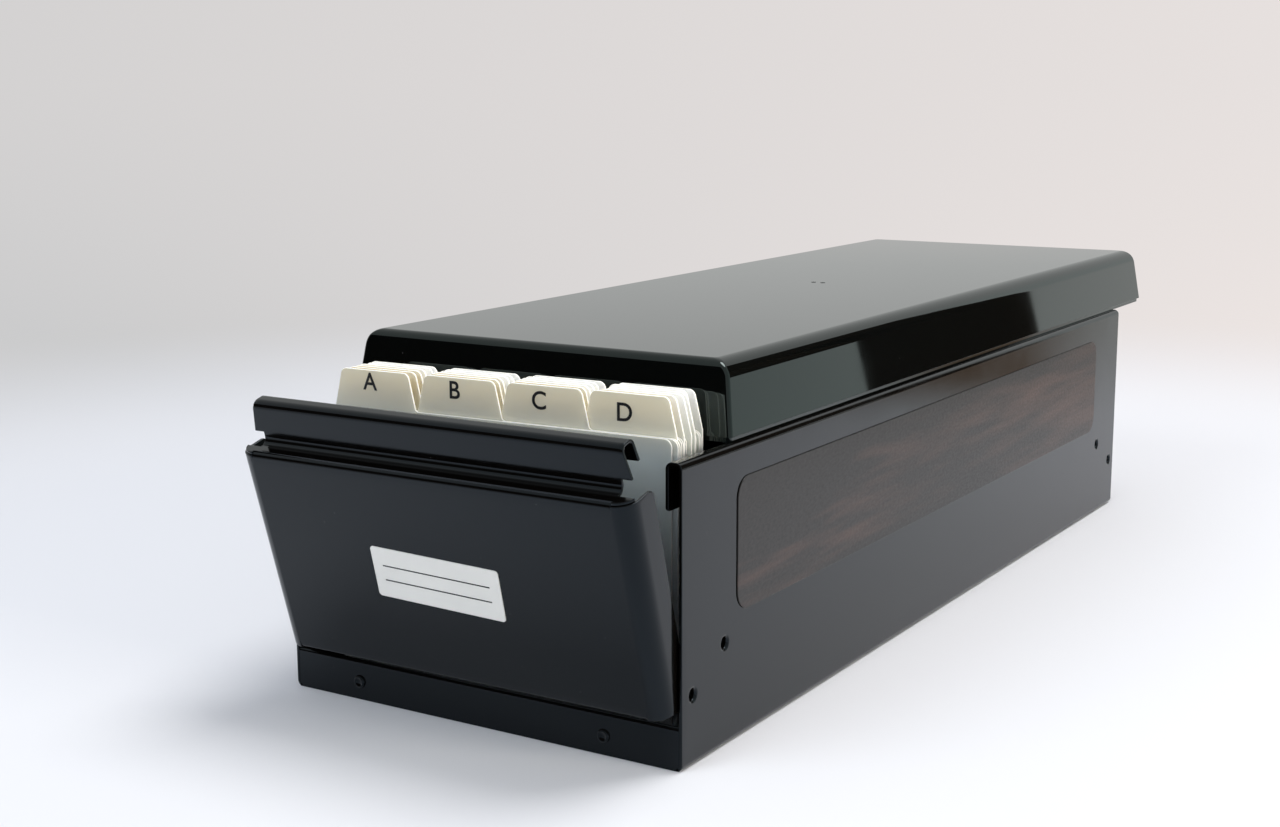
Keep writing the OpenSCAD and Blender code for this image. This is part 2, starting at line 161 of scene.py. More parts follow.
class CaseSettings(bpy.types.PropertyGroup):
    """Sizes of the folded steel case and of the films on its sides."""

    sheet: size("Sheet", "Thickness of the steel sheet", 0.8)
    bend: size("Bend", "Bend radius at the middle of the sheet", 1.2)
    fold: size("Fold", "Radius of the sharp folds along the sill and the panel's lower edge", 0.6)
    edge: size("Edge", "Rounding of a painted cut edge", 0.16)
    hem_w: size("Hem width", "Width of the hem along the top of a side wall", 4.3)
    hem_drop: size("Hem drop", "Depth of the hem's inner lip", 11.2)
    lip_r: size("Lip corner", "Radius of the lip's lower corners", 1)
    foot_w: size("Foot width", "Width of the foot flange under a side wall", 8)
    stop_back: size("Stop distance", "Distance of a stop behind its pivot", 14.6)
    stop_rise: size("Stop rise", "Height of a stop above its pivot", 8.2)
    dimple_r: size("Dimple radius", "Outer radius of a pressed pivot or stop", 2.1)
    dimple_rim: size("Dimple rim", "Bend radius round the mouth of a dimple", 0.5)
    dimple_l: size("Dimple depth", "Reach of a dimple from the wall's inner face", 1.6)
    sill_d: size("Sill depth", "Depth of the sill's top flange", 5.2)
    rivet_gap: size("Rivet distance", "Distance between the sill rivets", 73)
    rivet_z: size("Rivet height", "Height of the sill rivets", 4.7)
    rivet_r: size("Rivet radius", "Radius of a rivet's head", 1.7)
    rivet_h: size("Rivet head", "Height of a rivet's head", 0.6)
    rivet_edge: size("Rivet edge", "Rounding of a rivet's edges", 0.05)
    strip_r: size("Strip corner", "Corner radius of a wood strip", 5)
    strip_edge: size("Strip edge", "Rounding of a wood strip's edges", 0.14)


class PanelSettings(bpy.types.PropertyGroup):
    """Sizes of the tilting front panel, in its closed place."""

    face_out: size("Face", "How far the face stands in front of the walls", 5.4)
    face_rise: size("Face rise", "Height of the lower edge above the sill", 4.9)
    ledge_drop: size("Ledge drop", "Drop of the ledge below the top of the walls", 0.8)
    corner_r: size("Corner", "Radius of the upright corners", 4.8)
    corner_ledge: size("Corner ledge", "Depth of the ledge over the upright corners", 3.7)
    flange_d: size("Flange depth", "Depth of the side flanges behind the face", 10.3)
    flange_r: size("Flange corner", "Radius of a side flange's upper rear corner", 2)
    flange_gap: size("Flange gap", "Gap between a flange and its side wall", 0.6)
    return_d: size("Return depth", "Depth of the lower return flange", 5)
    ear_r: size("Ear radius", "Radius of the ear round a pivot hole", 4.68)
    hole_r: size("Hole radius", "Radius of a pivot hole", 2.18)
    heel_l: size("Heel length", "Reach of a stop heel from its pivot", 19.945)
    heel_drop: size("Heel drop", "Depth of a stop heel below its pivot", 7.1)
    heel_angle: angle("Heel angle", "Slope of a stop heel's upper edge", 5.43)
    head_back: size("Head place", "Depth from the face to the front of the head", 5.7)
    neck_r: size("Neck bend", "Bend radius between the ledge and the neck", 2.2)
    slot_h: size("Neck", "Height of the neck between the ledge and the wider head", 2.9)
    head_h: size("Head height", "Height of the head", 7.9)
    head_d: size("Head depth", "Depth of the head", 5)
    head_lip: size("Head lip", "Length of the lip behind the head", 5.4)
    head_r: size("Head bend", "Bend radius of the head's front edge", 1.6)
    head_inset: size("Head inset", "Distance from the wall's outer face to the lower end of the head", 3.4)
    head_slant: size("Head slant", "How much each end of the head slants inwards to the top", 1.5)


class LabelSettings(bpy.types.PropertyGroup):
    """Sizes of the label on the front panel and of its ruled lines."""

    w: size("Width", "Width of the label", 37)
    h: size("Height", "Height of the label", 13.5)
    t: size("Thickness", "Thickness of the label", 0.4)
    r: size("Corner", "Corner radius of the label", 0.9)
    edge: size("Edge", "Rounding of the label's edges", 0.12)
    x: size("Place", "Sideways place of the label's middle", -1.3)
    rise: size("Rise", "Height of the label's middle above the panel's lower edge", 27)
    turn: angle("Turn", "Turn of the label in its plane", 1.8)
    margin: size("Margin", "Distance of the printed lines from the label's edge", 3)
    rule: size("Rule", "Width of a printed line", 0.35)
    rule_gap: size("Rule distance", "Distance between the printed lines", 3.9)
    ink: size("Ink", "Thickness of the printed lines", 0.02)


class LidSettings(bpy.types.PropertyGroup):
    """Sizes of the moulded lid."""

    gap: size("Gap", "Shadow gap between the lid's edge and the walls", 1.3)
    wall: size("Wall", "Thickness of the lid's walls", 2.4)
    draft: angle("Draft", "Draft of the lid's walls", 8)
    side_r: size("Long edge", "Radius of the long top edges", 5)
    end_r: size("Short edge", "Radius of the short top edges", 2.6)
    corner_r: size("Corner", "Radius of the upright corners", 1.1)
    tongue_t: size("Tongue", "Thickness of the tongue that the lid stands on", 1.2)
    tongue_in: size("Tongue inset", "Inset of the tongue from the lid's outer edge", 0.7)
    edge: size("Edge", "Rounding of the lower edges", 0.12)
    gate_r: size("Gate mark", "Radius of a moulding gate mark on the top", 0.8)
    gate_gap: size("Gate distance", "Distance between the two gate marks", 3.2)


class DividerSettings(bpy.types.PropertyGroup):
    """Sizes of the index dividers and their letters."""

    w: size("Width", "Width of a divider", 96)
    t: size("Thickness", "Thickness of a divider", 0.45)
    tab_w: size("Tab width", "Width of a tab at its foot", 24.8)
    tab_h: size("Tab height", "Height of a tab", 9.3)
    tab_slant: size("Tab slant", "How much each side of a tab slants inwards", 2.2)
    tab_r: size("Tab corner", "Radius of a tab's corners", 1.8)
    foot_r: size("Tab foot", "Radius of the hollow at the foot of a tab", 1)
    corner_r: size("Corner", "Radius of a divider's upper corners", 2)
    turn: angle("Turn", "Turn of the loose dividers in the box", 2)
    edge: size("Edge", "Rounding of a divider's edges", 0.1)
    letter_h: size("Letter height", "Height of a capital letter on a tab", 4.4)
    letter_x: size("Letter place", "Place of a letter beside the middle of its tab", -1.4)
    letter_z: size("Letter rise", "Height of the first column's letters above the foot of their tabs", 6.2)
    letter_drop: size("Letter drop", "How much lower the letters of the last column are printed", 1.6)
    letter_bold: size("Letter weight", "How much the letters' strokes are thickened", 0.16)
    ink: size("Ink", "Thickness of the printed letters", 0.02)
    columns: IntProperty(name="Columns", description="Number of tabs side by side", default=4, min=2)


class FinishSettings(bpy.types.PropertyGroup):
    """Colours and gloss of the finishes, with the painted light, glow and shade of the dividers."""

    paint: colour("Paint", "Brown-black paint of the steel", 0.0024, 0.0020, 0.0017)
    paint_sheen: colour("Paint sheen", "Tint of what the paint reflects head-on", 0.17, 0.225, 0.275)
    paint_gloss: share("Paint roughness", "Roughness of the paint", 0.12)
    lid: colour("Lid", "Gloss black of the moulded lid", 0.0016, 0.0022, 0.0022)
    lid_sheen: colour("Lid sheen", "Tint of what the lid reflects head-on", 0.82, 1.0, 0.97)
    wood_dark: colour("Wood, dark", "Dark grain of the wood film", 0.012, 0.011, 0.011)
    wood_light: colour("Wood, light", "Light grain of the wood film", 0.052, 0.031, 0.026)
    plastic: colour("Dividers, front", "Yellowed milky white of the tabs in front", 0.90, 0.785, 0.57)
    # Painted light: a lighter, whiter colour on the tabs behind the front set, standing in for light that
    # comes through the stack.
    plastic_deep: colour("Dividers", "Lighter white painted on the tabs behind, as painted light", 0.98, 0.965, 0.91)
    # Painted shade: a darker, greener white low in the box, between the panel and the stack.
    plastic_low: colour("Dividers, low", "Darker, greener white of the dividers low in the box, as painted shade", 0.60, 0.65, 0.60)
    # Painted light: the edges get a lighter cream and a glow, though they are no lamp.
    plastic_edge: colour("Dividers, edge", "Painted light on the edges, for the light that the sheet passes on",
                         0.96, 0.93, 0.83)
    edge_glow: share("Edge glow", "Painted glow of the tabs' edges, for the light that they pass on", 0.45)
    inner_glow: share("Inner glow", "Share of the edges' glow that the tabs behind have all over", 0.2)
    deep_in: size("Painted light depth", "Depth behind the front set from which the painted light is full", 3)
    # Heights between which the painted shade low in the box fades out.
    low_from: size("Painted shade up to", "Height above the floor up to which the painted shade is full", 58)
    low_to: size("Painted shade gone at", "Height above the floor from which the white is the tabs' own", 72)
    label: colour("Label", "Satin white of the label", 0.86, 0.85, 0.80)
    ink: colour("Ink", "Black of the printed letters and lines", 0.012, 0.012, 0.013)


class StageSettings(bpy.types.PropertyGroup):
    """Camera, floor and light."""

    eye: point("Camera", "Place of the camera", 0.25242, -0.48871, 0.15297)
    yaw: angle("Yaw", "Turn of the camera to the left of straight back", 32.0)
    pitch: angle("Pitch", "Slope of the camera's view down to the floor", 10.49)
    roll: angle("Roll", "Turn of the camera about its view", 0.21)
    lens: FloatProperty(name="Lens", description="Focal length on a 36 mm sensor", default=50.59,
                        subtype="DISTANCE_CAMERA")
    floor: colour("Floor", "Colour of the paper under the object", 0.81, 0.81, 0.828)
    paper_near: size("Paper", "Distance at which the paper starts to pass into the backdrop", 250)
    paper_far: size("Backdrop", "Distance from which only the backdrop shows", 700)
    backdrop_left: colour("Backdrop, left", "Colour of the backdrop on the left", 0.60, 0.60, 0.605)
    backdrop_right: colour("Backdrop, right", "Colour of the backdrop on the right", 0.85, 0.79, 0.77)
    backdrop_side: colour("Backdrop, side", "Colour far on the right, which the lid's side reflects",
                          0.70, 0.80, 0.78)
    backdrop_high: colour("Backdrop, high", "Colour higher up, which the lid's top reflects",
                          0.66, 0.675, 0.665)
    furniture: colour("Furniture", "Brown that the right side wall reflects low down", 0.30, 0.215, 0.15)
    ambient: colour("Ambient", "Colour of the light that the backdrop gives all round", 0.36, 0.375, 0.42)
    key: power("Key light", "Power of the large light above, behind on the right", 20.0)
    key_place: point("Key place", "Place of the key light", 0.35, 0.45, 1.7)
    key_w: size("Key width", "Width of the key light", 1000)
    key_tone: colour("Key tone", "Tone of the key light", 1.0, 1.0, 1.0)
    side: power("Side light", "Power of the soft light on the right", 12.5)
    side_place: point("Side place", "Place of the side light", 1.25, -0.1, 0.30)
    side_w: size("Side width", "Width of the side light", 600)
    side_tone: colour("Side tone", "Warm tone of the side light", 1.0, 0.95, 0.86)
    fill: power("Fill light", "Power of the soft light in front on the left", 7.0)
    fill_place: point("Fill place", "Place of the fill light", -0.45, -1.15, 0.9)
    fill_w: size("Fill width", "Width of the fill light", 800)
    fill_tone: colour("Fill tone", "Bluish tone of the fill light", 0.84, 0.93, 1.0)
    board: colour("Dark boards", "Dark brown of the boards that the lid reflects", 0.03, 0.018, 0.011)
    corner_heading: angle("Dark corner", "Heading of the dark corner that the lid's side reflects", 23)
    corner_away: size("Dark corner distance", "Distance of the dark corner from the box", 700)
    room_heading: angle("Dark room", "Heading of the dark room that the lid's front reflects", 211.5)
    room_away: size("Dark room distance", "Distance of the dark room from the box", 2000)


class CardBoxSettings(bpy.types.PropertyGroup):
    """Everything that a user may change on the card box."""

    case: PointerProperty(type=CaseSettings)
    panel: PointerProperty(type=PanelSettings)
    label: PointerProperty(type=LabelSettings)
    lid: PointerProperty(type=LidSettings)
    divider: PointerProperty(type=DividerSettings)
    finish: PointerProperty(type=FinishSettings)
    stage: PointerProperty(type=StageSettings)


# Outlines in a plane

def bend_points(a, b, c, radius):
    """Points of the round bend that a path makes at b on its way from a to c."""
    into = (b - a).normalized()
    out = (c - b).normalized()
    turn = math.atan2(into.x * out.y - into.y * out.x, into.dot(out))
    start = b - into * radius * math.tan(abs(turn) / 2)
    arm = math.copysign(radius, turn) * Vector((into.y, -into.x))
    centre = start - arm
    steps = max(2, math.ceil(abs(turn) / BEND_STEP))
    return [centre + Matrix.Rotation(turn * i / steps, 2) @ arm for i in range(steps + 1)]


def bent_path(corners, radii):
    """A path through the corners, with a round bend of its own radius at each inner one."""
    corners = [Vector(corner) for corner in corners]
    points = [corners[0]]
    for i, radius in enumerate(radii, 1):
        points += bend_points(corners[i - 1], corners[i], corners[i + 1], radius)
    points.append(corners[-1])
    return [p for i, p in enumerate(points) if i == 0 or (p - points[i - 1]).length > WELD]


def round_outline(corners, radii):
    """A closed outline with a rounding at each corner that has a radius."""
    corners = [Vector(corner) for corner in corners]
    points = []
    for i, radius in enumerate(radii):
        before, here, after = corners[i - 1], corners[i], corners[(i + 1) % len(corners)]
        points += bend_points(before, here, after, radius) if radius else [here]
    return points


def rectangle(x0, y0, x1, y1):
    """Corners of a rectangle, counter-clockwise."""
    return [Vector((x0, y0)), Vector((x1, y0)), Vector((x1, y1)), Vector((x0, y1))]


def circle(centre, radius):
    """Points of a circle, counter-clockwise."""
    turns = [math.tau * i / ROUND_SIDES for i in range(ROUND_SIDES)]
    return [Vector(centre) + radius * Vector((math.cos(t), math.sin(t))) for t in turns]


# Places in the box for the points of an outline

def across(p, x):
    """A point of a depth and height, at x beside the middle."""
    return Vector((x, FRONT + p.x, p.y))


def standing(x):
    """Places points of a depth and height on an upright sheet at x."""
    return lambda p: across(p, x)


def lengthways(side):
    """Places points of a width and height on one side, y behind the front."""
    return lambda p, y: Vector((side * p.x, FRONT + y, p.y))


def upright(side):
    """Places points of a width and depth on one side, at a height z."""
    return lambda p, z: Vector((side * p.x, FRONT + p.y, z))


class Shell:
    """A surface that is drawn in strips, flats and rings, which join where their edges meet."""

    def __init__(self):
        self.mesh = bmesh.new()

    def face(self, corners):
        """One face."""
        self.mesh.faces.new([self.mesh.verts.new(corner) for corner in corners])

    def strip(self, path, stops, place):
        """Faces along a path, split at the stops across it. place(point, stop) says where."""
        for a, b in zip(path, path[1:]):
            for s, t in zip(stops, stops[1:]):
                self.face([place(a, s), place(a, t), place(b, t), place(b, s)])

    def flat(self, shapes, holes, place):
        """Faces that fill all the shapes, which may overlap, but not the holes. place(point) says where."""
        points, outlines = [], []
        for outline in shapes + holes:
            outlines.append(list(range(len(points), len(points) + len(outline))))
            points += outline
        filled = delaunay_2d_cdt(points, [], outlines, 0, WELD)
        corners, triangles, sources = filled[0], filled[2], filled[5]
        for triangle, source in zip(triangles, sources):
            if source and max(source) < len(shapes):
                self.face([place(corners[i]) for i in triangle])

    def rings(self, loops):
        """Faces between closed loops of as many points each."""
        for low, high in zip(loops, loops[1:]):
            for i in range(len(low)):
                self.face([low[i - 1], low[i], high[i], high[i - 1]])

    def solid(self, loops):
        """A closed body through loops of as many points each."""
        self.rings(loops)
        self.face(loops[0])
        self.face(loops[-1])

    def finish(self, name, shift=Matrix.Identity(4)):
        """The piece as an object in the scene, moved by shift."""
        bmesh.ops.remove_doubles(self.mesh, verts=self.mesh.verts, dist=WELD)
        bmesh.ops.recalc_face_normals(self.mesh, faces=self.mesh.faces)
        for face in self.mesh.faces:
            face.smooth = True
        self.mesh.transform(shift)
        return in_scene(self.mesh, name)


def in_scene(mesh, name):
    """An object in the scene from a finished mesh."""
    data = bpy.data.meshes.new(name)
    mesh.to_mesh(data)
    mesh.free()
    piece = bpy.data.objects.new(name, data)
    bpy.context.scene.collection.objects.link(piece)
    return piece


def round_edges(piece, width, segments=2):
    """Rounds every hard edge and keeps the flats flat in their shading."""
    bevel = piece.modifiers.new("rounded edges", "BEVEL")
    bevel.width = width
    bevel.segments = segments
    bevel.limit_method = "ANGLE"
    bevel.angle_limit = HARD_EDGE
    bevel.use_clamp_overlap = False
    piece.modifiers.new("flat shading", "WEIGHTED_NORMAL")
    return piece


def hand_over(context, piece, finish, body, slot, *nodes):
    """Gives a piece its finish, lets it ride on its body and puts it in the place of its nodes."""
    piece.data.materials.append(finish_named(context, finish))
    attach(piece, body)
    if nodes:
        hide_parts(*nodes)


def hand_over_sheet(context, piece, body, node):
    """Gives a folded sheet its thickness, its rounded cut edges and its paint, and hands it over."""
    case = context.scene.card_box.case
    thick = piece.modifiers.new("sheet", "SOLIDIFY")
    thick.thickness = case.sheet
    thick.offset = 0.0
    thick.use_even_offset = True
    thick.use_quality_normals = True
    round_edges(piece, case.edge)
    hand_over(context, piece, "sprayed_paint", body, "case_paint", node)


# Finishes

class NodeTree:
    """Short ways to add and link shader nodes."""

    def __init__(self, owner, coordinates):
        owner.use_nodes = True
        self.tree = owner.node_tree
        self.place = self.add("ShaderNodeTexCoord").outputs[coordinates]

    def connect(self, node, sockets):
        """Sets or links a node's inputs."""
        for name, value in sockets.items():
            if isinstance(value, bpy.types.NodeSocket):
                self.tree.links.new(value, node.inputs[name])
            else:
                node.inputs[name].default_value = value

    def add(self, kind, sockets=None, **options):
        """A new node with its options and inputs."""
        node = self.tree.nodes.new(kind)
        for name, value in options.items():
            setattr(node, name, value)
        self.connect(node, sockets or {})
        return node

    def combine(self, operation, *values):
        """What an operation makes of some values."""
        return self.add("ShaderNodeMath", dict(enumerate(values)), operation=operation).outputs["Value"]

    def along(self, vector, axis):
        """How far a vector reaches along an axis."""
        product = self.add("ShaderNodeVectorMath", {0: vector, 1: axis}, operation="DOT_PRODUCT")
        return product.outputs["Value"]

    def spread(self, value, low, high, to_low=0.0, to_high=1.0, form="LINEAR"):
        """Spreads a value from one range onto another."""
        ends = {"Value": value, "From Min": low, "From Max": high, "To Min": to_low, "To Max": to_high}
        return self.add("ShaderNodeMapRange", ends, interpolation_type=form).outputs["Result"]

    def noise(self, scale, detail, stretch=(1.0, 1.0, 1.0)):
        """A field of random values, with scale in cells to a metre."""
        place = self.add("ShaderNodeMapping", {"Vector": self.place, "Scale": stretch}).outputs["Vector"]
        field = self.add("ShaderNodeTexNoise", {"Vector": place, "Scale": scale, "Detail": detail})
        return field.outputs["Fac"]

    def clouds(self, scale, detail, low=0.0, high=1.0):
        """A noise whose values go from low to high."""
        return self.spread(self.noise(scale, detail), *NOISE_MIDDLE, low, high)

    def blend(self, factor, first, second):
        """A colour between two, by a factor."""
        sockets = {"Factor": factor, MIX_FIRST: first, MIX_SECOND: second}
        return self.add("ShaderNodeMix", sockets, data_type="RGBA").outputs[MIX_RESULT]


class Finish(NodeTree):
    """A procedural material round one principled surface, placed by the object's own coordinates."""

    def __init__(self, name, sockets):
        self.material = bpy.data.materials.new(name)
        super().__init__(self.material, "Object")
        self.surface = self.tree.nodes["Principled BSDF"]
        self.drive(sockets)

    def drive(self, sockets):
        """Sets or links inputs of the surface."""
        self.connect(self.surface, sockets)

    def specks(self, scale, reach):
        """1 on fine scattered specks of dust and 0 elsewhere."""
        cells = self.add("ShaderNodeTexVoronoi", {"Vector": self.place, "Scale": scale})
        return self.spread(cells.outputs["Distance"], reach, reach * SPECK_CORE)

    def bump(self, height, strength, distance):
        """Raises the surface by a height field."""
        node = self.add("ShaderNodeBump", {"Height": height, "Strength": strength, "Distance": distance})
        self.drive({"Normal": node.outputs["Normal"]})


def lighter(tone, factor):
    """A colour scaled in brightness."""
    return tuple(min(1.0, c * factor) for c in tone[:3]) + (1.0,)


def paint_finish(finish):
    """Sprayed semi-gloss paint with a fine orange peel, faint clouds and a little dust."""
    made = Finish("sprayed_paint", {"IOR": 1.75, "Specular Tint": finish.paint_sheen})
    clouds = made.spread(made.noise(14, 3), 0.35, 0.65)
    tone = made.blend(clouds, lighter(finish.paint, 0.88), lighter(finish.paint, 1.12))
    made.drive({
        "Base Color": made.blend(made.specks(240, 0.028), tone, lighter(DUST, 0.4)),
        "Roughness": made.clouds(60, 4, finish.paint_gloss - 0.03, finish.paint_gloss + 0.04),
    })
    made.bump(made.noise(800, 1), 0.06, 0.03 * MM)
    return made.material


def lid_finish(finish):
    """Polished black moulded plastic, slightly wavy, with a trace of dust."""
    made = Finish("polished_lid", {"IOR": 1.47, "Specular Tint": finish.lid_sheen})
    made.drive({
        "Base Color": made.blend(made.specks(190, 0.024), finish.lid, lighter(DUST, 0.5)),
        "Roughness": made.clouds(40, 4, 0.015, 0.04),
    })
    made.bump(made.noise(18, 1), 0.05, 0.25 * MM)
    return made.material


def wood_finish(finish):
    """Dark wood-grain film: long streaks, painted warm light that makes it lighter and redder to the rear,
    fine pores and a low sheen.
    """
    made = Finish("wood_film_painted_light", {"IOR": 1.42})
    streaks = made.noise(1, 6, (120, 22, 300))
    broad = made.noise(1, 3, (30, 7, 48))
    # Painted warm light: the grain turns lighter and redder to the rear.
    front, rear = -120 * MM, 150 * MM
    painted_warm_light = made.spread(made.along(made.place, BACK), front, rear, -0.135, 0.045)
    grain = made.combine("MULTIPLY_ADD", streaks, broad, painted_warm_light)
    pores = made.noise(1, 3, (1400, 700, 1600))
    made.drive({
        "Base Color": made.blend(made.spread(grain, 0.16, 0.36), finish.wood_dark, finish.wood_light),
        "Roughness": made.spread(pores, *NOISE_MIDDLE, 0.3, 0.42),
    })
    made.bump(pores, 0.45, 0.08 * MM)
    return made.material


def divider_finish(finish):
    """Milky plastic sheet that lets some light through, with a fine matt grain, painted light and a painted
    glow on its edges and on the tabs behind, and painted shade low in the box.
    """
    made = Finish("milky_plastic_painted_light", {
        "IOR": 1.48,
        "Subsurface Weight": 0.55,
        "Subsurface Radius": (1.0, 0.95, 0.8),
        "Subsurface Scale": 2.5 * MM,
    })
    front_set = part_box("divider_d")[1].y
    # The tabs behind the front set get a lighter, whiter colour: painted light.
    deep = made.spread(made.along(made.place, BACK), front_set, front_set + finish.deep_in)
    # Low in the box the white turns darker and greener: painted shade.
    low, high = FLOOR_TOP + finish.low_from, FLOOR_TOP + finish.low_to
    raised = made.spread(made.along(made.place, UP), low, high, form="SMOOTHSTEP")
    # Edge faces get a lighter cream: painted light.
    facing = made.along(made.add("ShaderNodeNewGeometry").outputs["True Normal"], BACK)
    edge = made.spread(made.combine("ABSOLUTE", facing), 0.97, 0.8)
    tone = made.blend(made.clouds(25, 3), lighter(finish.plastic, 0.96), lighter(finish.plastic, 1.03))
    tone = made.blend(deep, tone, finish.plastic_deep)
    tone = made.blend(raised, finish.plastic_low, tone)
    # Emission on the edges and, weaker, all over the tabs behind, above the painted shade: a painted glow.
    lit = made.combine("MAXIMUM", edge, made.spread(deep, 0.0, 1.0, 0.0, finish.inner_glow))
    glow = made.spread(raised, 0.0, 1.0, 0.0, finish.edge_glow)
    made.drive({
        "Base Color": made.blend(edge, tone, finish.plastic_edge),
        "Emission Color": finish.plastic_edge,
        "Emission Strength": made.combine("MULTIPLY", lit, glow),
        "Roughness": made.clouds(300, 2, 0.36, 0.46),
    })
    made.bump(made.noise(1500, 2), 0.08, 0.02 * MM)
    return made.material


def label_finish(finish):
    """Satin white print film."""
    made = Finish("label_film", {"IOR": 1.5})
    dull, bright = lighter(finish.label, 0.96), lighter(finish.label, 1.02)
    made.drive({
        "Base Color": made.blend(made.clouds(60, 3), dull, bright),
        "Roughness": made.clouds(200, 2, 0.32, 0.42),
    })
    made.bump(made.noise(700, 2), 0.05, 0.02 * MM)
    return made.material


def ink_finish(finish):
    """Black printing ink, a little uneven."""
    made = Finish("print_ink", {"IOR": 1.5})
    clouds = made.clouds(500, 3)
    made.drive({
        "Base Color": made.blend(clouds, finish.ink, lighter(finish.ink, 1.8)),
        "Roughness": made.spread(clouds, 0.0, 1.0, 0.4, 0.5),
    })
    return made.material


MAKERS = {
    "sprayed_paint": paint_finish,
    "polished_lid": lid_finish,
    "wood_film_painted_light": wood_finish,
    "milky_plastic_painted_light": divider_finish,
    "label_film": label_finish,
    "print_ink": ink_finish,
}


def finish_named(context, name):
    """A finish, made when it is first asked for."""
    return bpy.data.materials.get(name) or MAKERS[name](context.scene.card_box.finish)


# Pieces

def tilted():
    """What moves a closed front panel to its open place."""
    there = Matrix.Translation(PIVOT)
    return there @ Matrix.Rotation(TILT, 4, "X") @ there.inverted()


def dimple_places(case):
    """Depth and height of the pivots and stops, front pair first."""
    front = [Vector((PIVOT_Y, PIVOT.z)), Vector((PIVOT_Y + case.stop_back, PIVOT.z + case.stop_rise))]
    return front + [Vector((BODY_L - p.x, p.y)) for p in front]


class CARDBOX_OT_side_walls(bpy.types.Operator):
    """Folds both side walls, with their foot flanges, hems and pressed dimples"""

    bl_idname = "cardbox.side_walls"
    bl_label = "Side Walls"

    def execute(self, context):
        for side, node in ((1, "right_side_wall"), (-1, "left_side_wall")):
            wall = self.wall(context.scene.card_box.case, side, node + "_sheet")
            hand_over_sheet(context, wall, "case", node)
        return {"FINISHED"}

    def wall(self, case, side, name):
        """One side wall, from its foot flange up to the lip of its hem."""
        mid = case.sheet / 2
        wall_x = HALF_W - mid
        lip_x = HALF_W - case.hem_w + mid
        low, high = mid + case.bend, BODY_H - mid - case.bend
        foot = [Vector((HALF_W - case.foot_w, mid)), Vector((wall_x - case.bend, mid))]
        heel = bent_path([foot[1], (wall_x, mid), (wall_x, low)], [case.bend])
        hem = bent_path([(wall_x, high), (wall_x, BODY_H - mid), (lip_x, BODY_H - mid), (lip_x, high)],
                        [case.bend, case.bend])
        shell = Shell()
        shell.strip(foot, [case.sheet, BODY_L], lengthways(side))
        shell.strip(heel, [0.0, case.sheet, BODY_L], lengthways(side))
        shell.strip(hem, [0.0, BODY_L], lengthways(side))
        outline = rectangle(0.0, low, BODY_L, high)
        outline.insert(1, Vector((case.sheet, low)))
        mouth_r = case.dimple_r - mid + case.dimple_rim
        places = dimple_places(case)
        shell.flat([outline], [circle(p, mouth_r) for p in places], standing(side * wall_x))
        lip = rectangle(0.0, BODY_H - case.hem_drop, BODY_L, high)
        shell.flat([round_outline(lip, [case.lip_r, case.lip_r, 0, 0])], [], standing(side * lip_x))
        for p in places:
            self.dimple(shell, case, p, side)
        return shell.finish(name)

    def dimple(self, shell, case, centre, side):
        """A round cup that is pressed inwards."""
        mid = case.sheet / 2
        wall_x = HALF_W - mid
        rim = case.dimple_rim
        cup_r = case.dimple_r - mid
        cap_x = HALF_W - case.sheet - case.dimple_l + mid
        profile = bent_path([(cup_r + rim, wall_x), (cup_r, wall_x), (cup_r, cap_x), (cup_r - rim, cap_x)],
                            [rim, rim])
        loops = [[across(q, side * p.y) for q in circle(centre, p.x)] for p in profile]
        shell.rings(loops)
        shell.face(loops[-1])


class CARDBOX_OT_floor(bpy.types.Operator):
    """Folds the raised floor down along its sides and front"""

    bl_idname = "cardbox.floor"
    bl_label = "Floor"

    def execute(self, context):
        case = context.scene.card_box.case
        mid = case.sheet / 2
        top = FLOOR_TOP - mid
        bend_out = case.bend + mid
        side_x = HALF_W - case.sheet - mid
        flat_x = side_x - case.bend
        front_x = HALF_W - 2 * case.sheet - bend_out
        front_y, rear_y = case.sheet + mid, BODY_L - case.sheet
        seam_y = front_y + bend_out
        flat = [Vector((seam_y, top)), Vector((rear_y, top))]
        fold = bent_path([(seam_y, top), (front_y, top), (front_y, case.sheet)], [case.bend])
        drop = bent_path([(flat_x, top), (side_x, top), (side_x, bend_out)], [case.bend])
        shell = Shell()
        shell.strip(flat, [-flat_x, -front_x, front_x, flat_x], across)
        shell.strip(fold, [-front_x, front_x], across)
        for side in (1, -1):
            shell.strip(drop, [seam_y, rear_y], lengthways(side))
        hand_over_sheet(context, shell.finish("floor_sheet"), "case", "floor_plate")
        return {"FINISHED"}


